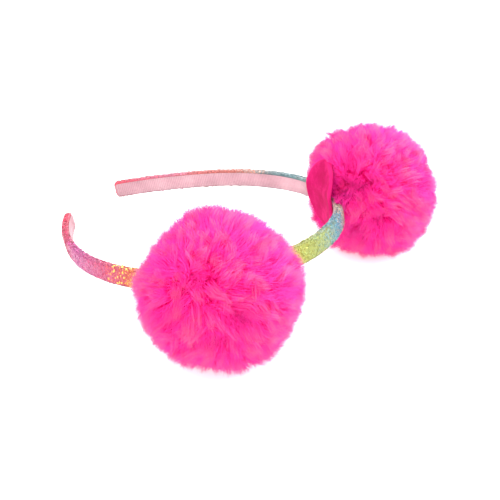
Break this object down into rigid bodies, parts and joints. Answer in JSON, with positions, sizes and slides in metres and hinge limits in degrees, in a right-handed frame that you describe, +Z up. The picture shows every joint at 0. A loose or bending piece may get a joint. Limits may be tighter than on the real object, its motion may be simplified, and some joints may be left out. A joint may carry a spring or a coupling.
{
  "type": "pompom headband",
  "caption": "Springy horseshoe headband in rainbow glitter cloth with a ribbed ribbon lining and round faux-fur pompoms held by felt discs.",
  "frame": {"origin": "on the floor, at the middle of the lying headband's box", "axes": "+Z up from the floor, +X from the band's open tips to its crown, +Y to the far leg"},
  "size_m": [0.186, 0.186, 0.0638],
  "materials": {
    "glitter_cloth": "chunky iridescent glitter cloth in rainbow colours, over a springy plastic core",
    "lining_ribbon": "pale pink ribbed ribbon",
    "felt": "crimson-pink wool felt",
    "fur": "long hot-pink faux fur"
  },
  "bodies": {
    "root": {"band": "glitter_cloth", "lining_ribbon": "lining_ribbon", "felt_disc_near": "felt", "felt_disc_far": "felt", "pompom_near": "fur", "pompom_far": "fur"}
  },
  "joints": []
}
